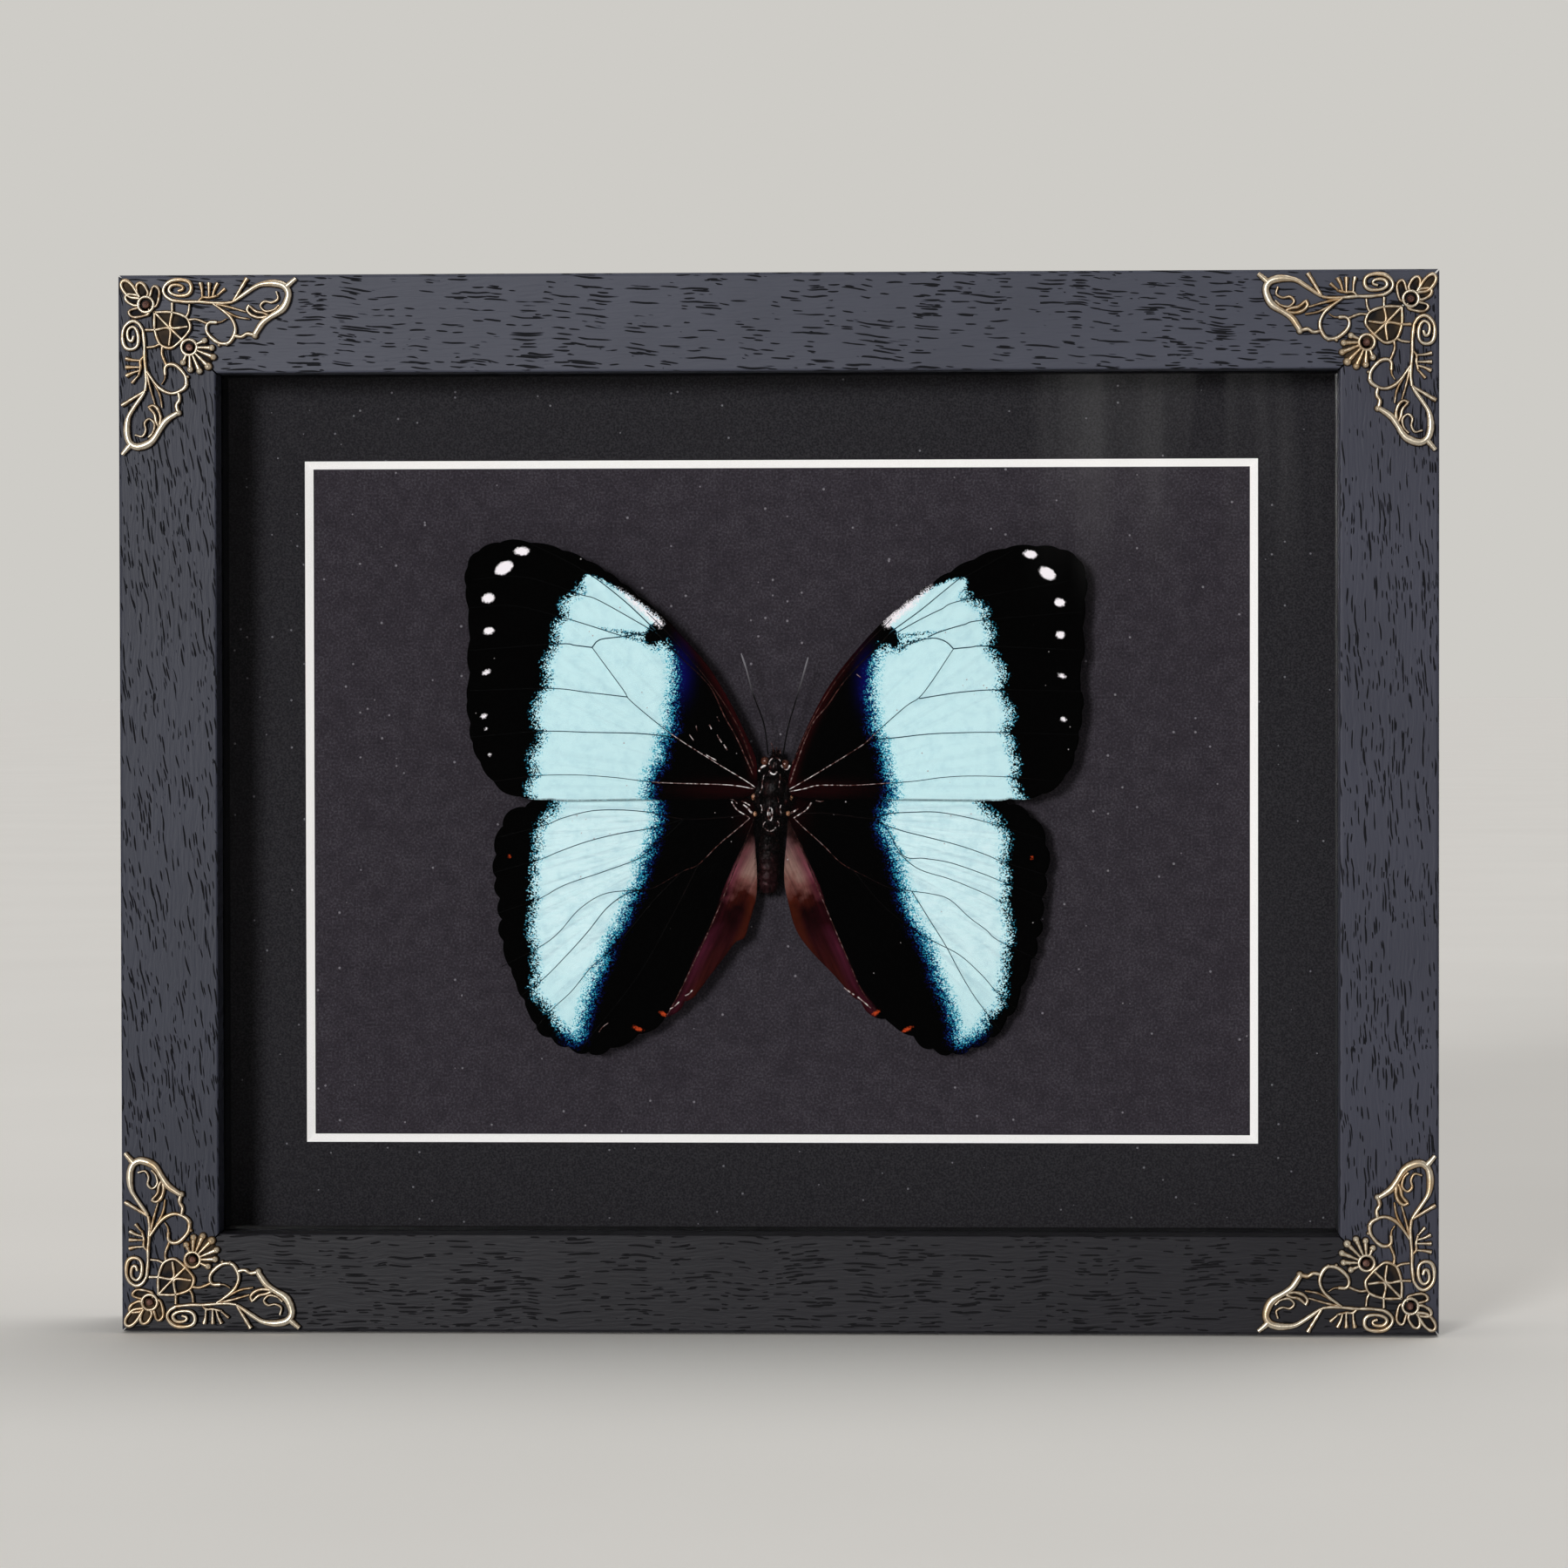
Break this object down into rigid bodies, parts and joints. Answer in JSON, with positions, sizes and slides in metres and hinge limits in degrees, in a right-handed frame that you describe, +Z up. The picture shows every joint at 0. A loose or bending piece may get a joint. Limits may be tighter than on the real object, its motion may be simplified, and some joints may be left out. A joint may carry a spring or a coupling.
{
  "type": "framed butterfly specimen",
  "caption": "Spread butterfly behind glass in a deep mitred frame, with a bevelled window mat, dark backing card and pierced bronze corner ornaments.",
  "frame": {"origin": "centre of the overall box at its base, on the surface that the frame stands on", "axes": "+Z up, -Y out of the glass towards the viewer, +X to the viewer's right"},
  "size_m": [0.255, 0.034, 0.205],
  "materials": {
    "painted_wood": "slate-grey paint, open pores",
    "antique_bronze": "antiqued casting, rubbed edges",
    "picture_glass": "clear, polished",
    "spacer_strip": "matt black",
    "mat_board": "black paper face, white core",
    "backing_card": "charcoal paper",
    "hardboard": "raw brown hardboard",
    "plated_steel": "plated",
    "wing_scales": "scaled membrane, blue band on black",
    "insect_body": "dark hairy chitin"
  },
  "bodies": {
    "root": {"rail_top": "painted_wood", "rail_bottom": "painted_wood", "rail_left": "painted_wood", "rail_right": "painted_wood", "filigree_top_left": "antique_bronze", "filigree_top_right": "antique_bronze", "filigree_bottom_left": "antique_bronze", "filigree_bottom_right": "antique_bronze", "glass_pane": "picture_glass", "spacer_top": "spacer_strip", "spacer_bottom": "spacer_strip", "spacer_left": "spacer_strip", "spacer_right": "spacer_strip", "window_mat": "mat_board", "backing_card": "backing_card", "back_panel": "hardboard", "point_top_1": "plated_steel", "point_top_2": "plated_steel", "point_bottom_1": "plated_steel", "point_bottom_2": "plated_steel", "point_left_1": "plated_steel", "point_left_2": "plated_steel", "point_right_1": "plated_steel", "point_right_2": "plated_steel", "hanger_plate": "plated_steel", "hanger_nail_left": "plated_steel", "hanger_nail_right": "plated_steel", "forewing_left": "wing_scales", "forewing_right": "wing_scales", "hindwing_left": "wing_scales", "hindwing_right": "wing_scales", "insect_body": "insect_body", "antenna_left": "insect_body", "antenna_right": "insect_body"}
  },
  "joints": []
}
